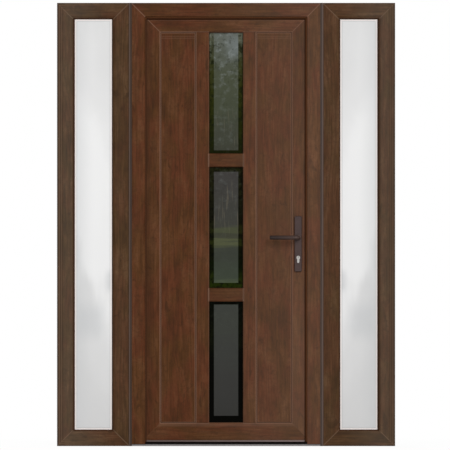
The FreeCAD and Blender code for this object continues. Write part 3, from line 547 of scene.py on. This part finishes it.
def satin_glass(name, cell):
    """Milky satin glass, greyer towards the floor, with a bright rim and a painted shadow at its
    edge.

    cell is the outline of what shows. The inner pane is glossier.
    """
    g = Graph(name)
    x, y, z = g.split(g.place)
    u, v = g.edge_distances(*cell)
    inwards = g.times(g.math("MAXIMUM", u, v), -1.0)
    away = g.math("ABSOLUTE", x)
    cloud = g.noise(g.scaled(away, y, z, (5.0, 5.0, 2.2), 4.0), 1.0, 3.0, 0.5, 0.4)
    drift = g.math("ADD", g.range(z, 0.0, TOP, smooth=False),
                   g.range(cloud, 0.3, 0.7, -0.06, 0.06))
    drift = g.math("SUBTRACT", drift, g.range(away, 0.53, 0.69, -0.05, 0.06))
    colour = g.ramp(drift, ((0.0, srgb(206, 206, 206)), (0.28, srgb(214, 214, 214)),
                            (0.43, srgb(234, 234, 234)), (0.68, srgb(236, 236, 236)),
                            (0.84, srgb(225, 225, 225)), (1.0, srgb(219, 219, 219))))
    outer = g.range(away, 0.60, 0.71)
    colour = g.mix(g.times(outer, 0.42), colour, srgb(192, 194, 195))
    # two grey patches in the glass's colour
    grey_patch = g.times(g.near(z, 0.575, 0.02, 0.10), g.near(away, 0.625, 0.03, 0.07))
    grey_band = g.times(g.near(z, 0.757, 0.02, 0.05), g.range(away, 0.57, 0.53))
    grey_patch = g.math("MAXIMUM", grey_patch, grey_band)
    colour = g.mix(g.times(grey_patch, 0.34), colour, srgb(180, 183, 186))
    colour = g.mix(g.times(g.near(inwards, 0.0100, 0.0008, 0.0020), 0.32), colour,
                   srgb(170, 170, 170))
    colour = g.mix(g.times(g.range(inwards, 0.0085, 0.0070), 0.6), colour, srgb(240, 228, 222))
    # a painted shadow line along the edge, under the gasket's lip
    colour = g.mix(g.times(g.range(inwards, 0.0014, 0.0006), 0.9), colour, srgb(58, 42, 34))
    grain = g.noise(g.place, 1400.0, 2.0)
    inner_pane = g.range(y, -0.012, -0.011)
    g.principled(Base_Color=colour, IOR=GLOSS_IOR, Specular_IOR_Level=0.2,
                 Roughness=g.range(inner_pane, 0.0, 1.0, 0.42, 0.12), Transmission_Weight=0.06,
                 Normal=g.bump(grain, 0.0001, 0.3))
    return g.material


GASKET_REVEAL = 0.005    # how much of the gasket shows round the glass
for side in ("left", "right"):
    glass = side + "_sidelight_glass"
    left, low, right, high = opening(glass)
    cell = (left + GASKET_REVEAL, low + GASKET_REVEAL, right - GASKET_REVEAL, high - GASKET_REVEAL)
    dress([glass], satin_glass("satin_" + side, cell))


# Metal, plastic and rubber

def metal(name, colour, metallic, rough, tint=0.2, specular=0.5, worn_to=None):
    """Painted or brushed metal with fine scratches, uneven in tone.

    The last argument is a colour of painted light or shade and the places along x between which it
    takes over.
    """
    g = Graph(name)
    x, y, z = g.split(g.place)
    fine = g.noise(g.place, 2600.0, 2.0, 0.6)
    broad = g.noise(g.place, 55.0, 3.0, 0.55)
    brushed = g.noise(g.scaled(x, y, z, (400.0, 400.0, 6.0)), 1.0, 3.0)
    dark = [part * (1 - tint) for part in colour[:3]] + [1.0]
    light = [min(1.0, part * (1 + tint)) for part in colour[:3]] + [1.0]
    tone = g.math("ADD", g.times(broad, 0.6), g.times(brushed, 0.4))
    shade = g.mix(g.range(tone, 0.35, 0.65), dark, light)
    if worn_to is not None:
        other, start, end = worn_to
        shade = g.mix(g.range(x, start, end, 0.0, 0.9), shade, other)
    roughness = g.math("ADD", g.times(fine, 0.08), rough - 0.04)
    g.principled(Base_Color=shade, Metallic=metallic, Roughness=roughness,
                 Specular_IOR_Level=specular, Normal=g.bump(fine, 0.00006, 0.5))
    return g.material


def plastic(name, colour, rough=0.6, specular=0.2):
    """Matt plastic or rubber with dust and a fine moulded texture."""
    g = Graph(name)
    fine = g.noise(g.place, 1800.0, 2.0, 0.6)
    dust = g.noise(g.place, 90.0, 4.0, 0.6)
    light = [min(1.0, part * 1.5 + 0.003) for part in colour[:3]] + [1.0]
    shade = g.mix(g.range(dust, 0.45, 0.75), colour, light)
    g.principled(Base_Color=shade, Roughness=g.math("ADD", g.times(fine, 0.12), rough),
                 Specular_IOR_Level=specular, Normal=g.bump(fine, 0.0001, 0.4))
    return g.material


def lip_rubber(name, root, tip):
    """Brown seal rubber with painted shade, paler where the lip leaves the frame's leg than at its
    tip.
    """
    g = Graph(name)
    x, _, z = g.split(g.place)
    below = g.math("SUBTRACT", LEG_FOOT, z)
    inside = g.math("SUBTRACT", LEG_EDGE, g.math("ABSOLUTE", x))
    away = g.math("MINIMUM", below, inside)
    fine = g.noise(g.place, 1800.0, 2.0, 0.6)
    shade = g.mix(g.range(away, 0.0010, 0.0080), root, tip)
    shade = g.mix(g.range(fine, 0.3, 0.7, 0.0, 0.25), shade, srgb(30, 14, 6))
    g.principled(Base_Color=shade, Roughness=g.math("ADD", g.times(fine, 0.12), 0.7),
                 Specular_IOR_Level=0.05, Normal=g.bump(fine, 0.0001, 0.4))
    return g.material


def brush_material():
    """Close black bristles that run down from their carrier."""
    g = Graph("brush")
    x, y, z = g.split(g.place)
    hairs = g.noise(g.scaled(x, y, z, (2400.0, 2400.0, 40.0)), 1.0, 2.0, 0.6)
    shade = g.mix(g.range(hairs, 0.35, 0.65), srgb(8, 8, 8), srgb(44, 42, 40))
    g.principled(Base_Color=shade, Roughness=0.75, Specular_IOR_Level=0.2,
                 Normal=g.bump(hairs, 0.0006, 1.0))
    return g.material


bronze = metal("bronze_paint", srgb(58, 44, 42), 0.25, 0.45, tint=0.10, specular=0.25)
# the lever darkens towards its tip as painted shade
lever_bronze = metal("lever_paint", srgb(62, 47, 42), 0.20, 0.42, tint=0.10, specular=0.20,
                     worn_to=(srgb(32, 22, 20), 0.325, 0.200))
nickel = metal("satin_nickel", srgb(152, 149, 146), 0.75, 0.42, tint=0.08)
plug_nickel = metal("plug_nickel", srgb(160, 157, 153), 0.75, 0.38, tint=0.06)
zinc = metal("zinc", srgb(150, 150, 150), 0.9, 0.38, tint=0.12)
aluminium = metal("mill_aluminium", srgb(112, 109, 108), 0.6, 0.42, tint=0.10)
# the drip bar pales towards the right as painted sheen
drip_paint = metal("drip_bar_paint", srgb(92, 77, 71), 0.2, 0.45, tint=0.10,
                   worn_to=(srgb(128, 112, 108), -0.30, 0.40))
black_plastic = plastic("black_plastic", srgb(9, 6, 5), specular=0.02)
rubber = plastic("rubber", srgb(14, 13, 12), 0.7)
brown_rubber = plastic("brown_rubber", srgb(64, 40, 26), 0.7, specular=0.05)
seal_brown = plastic("seal_brown", srgb(50, 24, 10), 0.7, specular=0.05)
gasket_brown = plastic("leaf_gasket", srgb(26, 20, 11), 0.7, specular=0.05)
# The top and right lips are dark as painted shade under the frame's leg; the left lip, which is
# lit, gets a paler copy
lip_brown = lip_rubber("lip_brown", srgb(118, 75, 47), srgb(46, 23, 9))
left_lip_brown = lip_rubber("left_lip_brown", srgb(70, 44, 28), srgb(66, 40, 26))
spacer_grey = plastic("spacer", srgb(38, 38, 40), 0.5)


COUPLER_LINE = 0.4425    # the pale line's distance to the middle of the set
# a painted sheen added over the right-hand coupler
COUPLER_SHEEN = (0.020, 0.017, 0.017, 1.0)


def coupler_foil():
    """Slate-brown coupling profile with a paler line up its face and a painted sheen to the right.
    """
    g = Graph("coupler")
    x, y, z = g.split(g.place)
    away = g.math("ABSOLUTE", x)
    streak = g.noise(g.scaled(x, y, z, (420.0, 420.0, 6.0)), 1.0, 3.0)
    broad = g.noise(g.scaled(x, y, z, (20.0, 20.0, 3.0)), 1.0, 2.0)
    colour = g.mix(g.range(streak, 0.35, 0.65), srgb(46, 33, 24), srgb(61, 45, 34))
    colour = g.mix(g.range(broad, 0.4, 0.7, 0.0, 0.35), colour, srgb(53, 44, 42))
    line = g.near(away, COUPLER_LINE, 0.0014, 0.0018)
    colour = g.mix(g.times(line, 0.65), colour, srgb(88, 73, 66))
    colour = g.mix(g.range(x, 0.0, 0.4, 0.0, 0.8), colour, COUPLER_SHEEN, "ADD")
    g.principled(Base_Color=colour, Roughness=0.5, Specular_IOR_Level=0.12,
                 Normal=g.bump(streak, 0.0001, 0.5))
    return g.material


nodes = sorted(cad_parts)
dress(["left_coupler", "right_coupler"], coupler_foil())
dress(["threshold_base"], aluminium)
# The ridge's black plastic is a real part, and its black also stands in for the shade under the
# leaf
dress(["threshold_ridge"], black_plastic)
dress(["leaf_drip_bar"], drip_paint)
dress(["leaf_gaskets"], gasket_brown)
dress(["leaf_seal"], rubber)
dress(["sidelight_gaskets"], brown_rubber)
dress(["frame_seal"], seal_brown)
dress(["leaf_brush_seal"], brush_material())
dress([n for n in nodes if n.endswith("_spacers")], spacer_grey)
dress(["outside_handle_plate", "inside_handle_plate"], bronze)
dress(["outside_lever", "inside_lever"], lever_bronze)
dress([n for n in nodes if "hinge_frame_part" in n or "hinge_leaf_part" in n], bronze)
dress(["lock_cylinder"], nickel)
dress(["cylinder_plug"], plug_nickel)
dress(["lock_faceplate", "lock_keeps", "lock_bolts", "lever_spindle"], zinc)


# Small pieces in mesh code

def finish_piece(name, mesh_maker, material, body):
    """Makes an object of a filled bmesh, smooth where it is round, and hangs it on a body."""
    mesh = bpy.data.meshes.new(name)
    bmesh.ops.recalc_face_normals(mesh_maker, faces=mesh_maker.faces)
    mesh_maker.to_mesh(mesh)
    mesh_maker.free()
    for polygon in mesh.polygons:
        polygon.use_smooth = True
    mesh.set_sharp_from_angle(angle=math.radians(35))
    mesh.materials.append(material)
    piece = bpy.data.objects.new(name, mesh)
    bpy.context.scene.collection.objects.link(piece)
    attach(piece, body)


def add_rings(maker, centre, axis, side, rings):
    """Joins rings of points round an axis and closes both ends.

    Each ring is a list of (across, up, out) offsets.
    """
    up = axis.cross(side)
    loops = []
    for ring in rings:
        loops.append([maker.verts.new(centre + side * a + up * b + axis * out)
                      for a, b, out in ring])
    count = len(loops[0])
    for first, second in zip(loops, loops[1:]):
        for index in range(count):
            following = (index + 1) % count
            maker.faces.new((first[index], first[following], second[following], second[index]))
    maker.faces.new(list(reversed(loops[0])))
    maker.faces.new(loops[-1])


def circle_ring(radius, out, count=24):
    """A circle of points, all as far out."""
    return [(radius * math.cos(turn), radius * math.sin(turn), out)
            for turn in (2 * math.pi * index / count for index in range(count))]


def cross_ring(reach, arm, out):
    """The outline of a cross recess as 24 points, in step with a circle of 24.

    The points that look along an arm lie on its end, the others at the inner corners.
    """
    points = []
    for index in range(24):
        turn = 2 * math.pi * index / 24
        across, up = math.cos(turn), math.sin(turn)
        longest = max(abs(across), abs(up))
        if longest > 0.9:
            scale = reach / longest
            across, up = across * scale, up * scale
            if abs(across) > abs(up):
                up = math.copysign(min(abs(up), arm), up)
            else:
                across = math.copysign(min(abs(across), arm), across)
        else:
            across = math.copysign(arm, across)
            up = math.copysign(arm, up)
            if index % 6 == 2:
                up *= 1.3
            elif index % 6 == 4:
                across *= 1.3
        points.append((across, up, out))
    return points


def add_screw(maker, centre, axis, side, radius, turn=0.0):
    """A countersunk screw's head: a low dome with a cross recess."""
    tilt = side * math.cos(turn) + axis.cross(side) * math.sin(turn)
    rings = [circle_ring(radius, -0.0004), circle_ring(radius, 0.0001),
             circle_ring(radius * 0.90, 0.0004), circle_ring(radius * 0.70, 0.0005),
             cross_ring(radius * 0.52, radius * 0.13, 0.0005),
             cross_ring(radius * 0.40, radius * 0.10, -0.0003)]
    add_rings(maker, centre, axis, tilt, rings)


def add_turned(maker, centre, axis, side, profile, count=40):
    """A turned shape: profile points are (radius, out)."""
    rings = [circle_ring(radius, out, count) for radius, out in profile]
    add_rings(maker, centre, axis, side, rings)


X_AXIS = Vector((1, 0, 0))
Y_AXIS = Vector((0, 1, 0))
Z_AXIS = Vector((0, 0, 1))

FACEPLATE_SCREWS = (0.136, 0.420, 0.700, 1.120, 1.400, 1.620, 1.868)    # heights
KEEP_SCREWS = (0.234, 0.306, 0.786, 0.894, 1.002, 1.698, 1.770)
FACEPLATE_SCREW = 0.0040    # radii of the screws' heads
KEEP_SCREW = 0.0036
HINGE_SCREW = 0.0038
HANDLE_SCREW = 0.0042
HINGE_PLATE = 0.004         # thickness
KNUCKLE = 0.010             # radius
CAP_PROFILE = ((0.0080, -0.0005), (0.0090, 0.0002), (0.0090, 0.0012), (0.0080, 0.0026),
               (0.0055, 0.0038), (0.0020, 0.0044))
COLLAR_PROFILE = ((0.0135, 0.0001), (0.0135, 0.0012), (0.0128, 0.0022), (0.0112, 0.0028),
                  (0.0098, 0.0030))

leaf_screws = bmesh.new()
frame_screws = bmesh.new()
hinge_caps = bmesh.new()

low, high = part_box("lock_faceplate")
lock_depth = (low.y + high.y) / 2
for number, z in enumerate(FACEPLATE_SCREWS):
    add_screw(leaf_screws, Vector((high.x, lock_depth, z)), X_AXIS, Y_AXIS, FACEPLATE_SCREW,
              number * 0.7)
low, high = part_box("lock_keeps")
for number, z in enumerate(KEEP_SCREWS):
    add_screw(frame_screws, Vector((low.x, lock_depth, z)), -X_AXIS, Y_AXIS, KEEP_SCREW,
              0.4 + number * 0.9)


def screw_hinge(maker, part, columns):
    """Three screws in each column, from the inside into a hinge part's plate."""
    low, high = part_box(part)
    for column, x in enumerate(columns):
        for row, z in enumerate((low.z + 0.014, (low.z + high.z) / 2, high.z - 0.014)):
            add_screw(maker, Vector((x, low.y + HINGE_PLATE, z)), Y_AXIS, X_AXIS, HINGE_SCREW,
                      0.3 + row * 0.8 + column)


for name in ("lower", "middle", "upper"):
    leaf_part = name + "_hinge_leaf_part"
    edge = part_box(leaf_part)[1].x
    screw_hinge(leaf_screws, leaf_part, (edge - 0.010, edge - 0.034))
    frame_part = name + "_hinge_frame_part"
    low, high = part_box(frame_part)
    screw_hinge(frame_screws, frame_part, (low.x + 0.006,))
    for z, axis in ((high.z, Z_AXIS), (low.z, -Z_AXIS)):
        add_turned(hinge_caps, Vector((high.x - KNUCKLE, high.y - KNUCKLE, z)), axis, X_AXIS,
                   CAP_PROFILE)
finish_piece("hinge_caps", hinge_caps, bronze, "frame")

low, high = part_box("inside_handle_plate")
for z in (low.z + 0.020, high.z - 0.020):
    add_screw(leaf_screws, Vector(((low.x + high.x) / 2, high.y, z)), Y_AXIS, X_AXIS,
              HANDLE_SCREW, 0.5)
finish_piece("leaf_screws", leaf_screws, zinc, "leaf")
finish_piece("frame_screws", frame_screws, zinc, "frame")

for side, outward in (("outside", -1), ("inside", 1)):
    low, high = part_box(side + "_handle_plate")
    face = low.y if outward < 0 else high.y
    collar = bmesh.new()
    add_turned(collar, Vector((SPINDLE.x, face, SPINDLE.z)), Y_AXIS * outward, X_AXIS,
               COLLAR_PROFILE)
    finish_piece(side + "_lever_collar", collar, lever_bronze, "lever")


def strip(name, outline, start, end, across, material, body):
    """A straight strip: an outline of (across, depth) points swept from start to end."""
    maker = bmesh.new()
    ends = [[maker.verts.new(point + across * a + Y_AXIS * depth) for a, depth in outline]
            for point in (start, end)]
    count = len(outline)
    for index in range(count):
        following = (index + 1) % count
        maker.faces.new((ends[0][index], ends[0][following], ends[1][following], ends[1][index]))
    maker.faces.new(ends[0])
    maker.faces.new(ends[1])
    finish_piece(name, maker, material, body)


def lip_outline(reveal):
    """A soft lip that reaches out from behind the frame's leg and curls to the leaf."""
    root = -0.0025
    return ((root, 0.0003), (reveal - 0.004, 0.0004), (reveal - 0.0012, 0.0012),
            (reveal, 0.0030), (reveal - 0.0006, 0.0050), (reveal - 0.0022, 0.0040),
            (reveal - 0.0055, 0.0026), (root, 0.0022))


LIP_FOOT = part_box("threshold_ridge")[1].z
LIP_HEAD = LEG_FOOT - 0.0105
TOP_REVEAL = 0.0112      # how far each lip reaches into the gap
RIGHT_REVEAL = 0.0100
LEFT_REVEAL = 0.0060
strip("frame_lip_top", lip_outline(TOP_REVEAL), Vector((-LEG_EDGE, LEG_BACK, LEG_FOOT)),
      Vector((LEG_EDGE, LEG_BACK, LEG_FOOT)), -Z_AXIS, lip_brown, "frame")
strip("frame_lip_right", lip_outline(RIGHT_REVEAL), Vector((LEG_EDGE, LEG_BACK, LIP_FOOT)),
      Vector((LEG_EDGE, LEG_BACK, LIP_HEAD)), -X_AXIS, lip_brown, "frame")
strip("frame_lip_left", lip_outline(LEFT_REVEAL), Vector((-LEG_EDGE, LEG_BACK, LIP_FOOT)),
      Vector((-LEG_EDGE, LEG_BACK, LIP_HEAD)), X_AXIS, left_lip_brown, "frame")


# Floor, light and camera

FLOOR_REACH = 90.0
FLOOR_DROP = 0.0005      # keeps the floor clear of the underside
SET_HALF_WIDTH = 0.775   # of the frame's foot, where the floor's shadow starts
SET_HALF_DEPTH = 0.04
SKY_STRENGTH = 0.33
AIM = (0.0, 0.0, 1.05)

PICTURE_PX = 450         # side of the square picture
MM_PER_PIXEL = 4.5845    # at the front face of the frame
CENTRE_PX = 226.1        # picture column of the set's middle
BASE_PY = 446.1          # picture row of its foot
FRONT = -0.035           # front face of the frame


def show_white(tree, shader, amount):
    """Mixes plain white into what camera, mirror and glass rays see, by the amount."""
    path = tree.nodes.new("ShaderNodeLightPath")
    seen = path.outputs["Is Camera Ray"]
    for ray in ("Is Glossy Ray", "Is Transmission Ray"):
        highest = tree.nodes.new("ShaderNodeMath")
        highest.operation = "MAXIMUM"
        tree.links.new(seen, highest.inputs[0])
        tree.links.new(path.outputs[ray], highest.inputs[1])
        seen = highest.outputs[0]
    factor = tree.nodes.new("ShaderNodeMath")
    factor.operation = "MULTIPLY"
    tree.links.new(seen, factor.inputs[0])
    if isinstance(amount, bpy.types.NodeSocket):
        tree.links.new(amount, factor.inputs[1])
    else:
        factor.inputs[1].default_value = amount
    mixed = tree.nodes.new("ShaderNodeMixShader")
    tree.links.new(factor.outputs[0], mixed.inputs[0])
    tree.links.new(shader, mixed.inputs[1])
    return mixed


def make_floor():
    """A pale floor that keeps the object's shadow near it and is white further out."""
    mesh = bpy.data.meshes.new("floor")
    corners = [(-FLOOR_REACH, -FLOOR_REACH, 0), (FLOOR_REACH, -FLOOR_REACH, 0),
               (FLOOR_REACH, FLOOR_REACH, 0), (-FLOOR_REACH, FLOOR_REACH, 0)]
    mesh.from_pydata(corners, [], [(0, 1, 2, 3)])
    floor = bpy.data.objects.new("floor", mesh)
    floor.location.z = -FLOOR_DROP
    bpy.context.scene.collection.objects.link(floor)
    g = Graph("floor")
    grain = g.noise(g.place, 40.0, 3.0)
    colour = g.mix(g.range(grain, 0.3, 0.7), srgb(231, 231, 230), srgb(236, 236, 235))
    shader = g.principled(Base_Color=colour, Roughness=0.8, Specular_IOR_Level=0.2)
    x, y, _ = g.split(g.place)
    beside = g.math("SUBTRACT", g.math("ABSOLUTE", x), SET_HALF_WIDTH)
    before = g.math("SUBTRACT", g.math("ABSOLUTE", y), SET_HALF_DEPTH)
    far = g.math("MAXIMUM", beside, before)
    amount = g.range(far, 0.0, 0.55, 0.95, 1.0)
    mixed = show_white(g.tree, shader.outputs[0], amount)
    white = g.tree.nodes.new("ShaderNodeEmission")
    white.inputs["Strength"].default_value = 1.0
    g.tree.links.new(white.outputs[0], mixed.inputs[2])
    g.tree.links.new(mixed.outputs[0], g.output.inputs["Surface"])
    mesh.materials.append(g.material)


def make_world():
    """An even, soft white light all round, behind a plain white background."""
    world = bpy.data.worlds.new("studio")
    bpy.context.scene.world = world
    world.use_nodes = True
    tree = world.node_tree
    tree.nodes.clear()
    soft = tree.nodes.new("ShaderNodeBackground")
    soft.inputs["Color"].default_value = (1.0, 1.0, 1.0, 1.0)
    soft.inputs["Strength"].default_value = SKY_STRENGTH
    white = tree.nodes.new("ShaderNodeBackground")
    white.inputs["Strength"].default_value = 1.0
    white.inputs["Color"].default_value = (1.0, 1.0, 1.0, 1.0)
    mixed = show_white(tree, soft.outputs[0], 1.0)
    tree.links.new(white.outputs[0], mixed.inputs[2])
    output = tree.nodes.new("ShaderNodeOutputWorld")
    tree.links.new(mixed.outputs[0], output.inputs["Surface"])


def hang_light(name, lamp, place, aim):
    """Puts a lamp at its place, turned to its aim and hidden from the camera."""
    holder = bpy.data.objects.new(name, lamp)
    holder.location = place
    holder.rotation_mode = "QUATERNION"
    holder.rotation_quaternion = (Vector(aim) - Vector(place)).to_track_quat("-Z", "Y")
    holder.visible_camera = False
    bpy.context.scene.collection.objects.link(holder)
    return holder


def make_sun(name, place, strength, spread):
    """An even, soft light from the direction of place, the same over the whole object."""
    lamp = bpy.data.lights.new(name, "SUN")
    lamp.energy = strength
    lamp.angle = math.radians(spread)
    hang_light(name, lamp, place, (0.0, 0.0, 0.0))


def make_lamp(name, place, power, side):
    """A square soft lamp that looks at the middle of the set."""
    lamp = bpy.data.lights.new(name, "AREA")
    lamp.shape = "RECTANGLE"
    lamp.size = side
    lamp.size_y = side
    lamp.energy = power
    return hang_light(name, lamp, place, AIM)


def make_camera():
    """A long lens straight in front, placed so that the set fills the picture as in the photo."""
    data = bpy.data.cameras.new("camera")
    data.lens = 240.0
    data.sensor_width = 36.0
    data.clip_end = 300.0
    shown = PICTURE_PX * MM_PER_PIXEL / 1000
    distance = shown * data.lens / data.sensor_width
    camera = bpy.data.objects.new("camera", data)
    middle = PICTURE_PX / 2
    camera.location = ((middle - CENTRE_PX) * MM_PER_PIXEL / 1000, FRONT - distance,
                       (BASE_PY - middle) * MM_PER_PIXEL / 1000)
    camera.rotation_euler = (math.radians(90), 0.0, 0.0)
    bpy.context.scene.collection.objects.link(camera)
    bpy.context.scene.camera = camera


make_floor()
make_world()
make_sun("key", (2.7, -5.6, 2.9), 1.95, 32.0)
make_lamp("fill", (-4.0, -12.0, 3.4), 170.0, 5.0)
back_lamp = make_lamp("back", (-3.0, 5.6, 3.8), 260.0, 2.0)
back_lamp.visible_glossy = False    # no glare on the top faces
make_camera()
bpy.context.scene.view_settings.view_transform = "Standard"
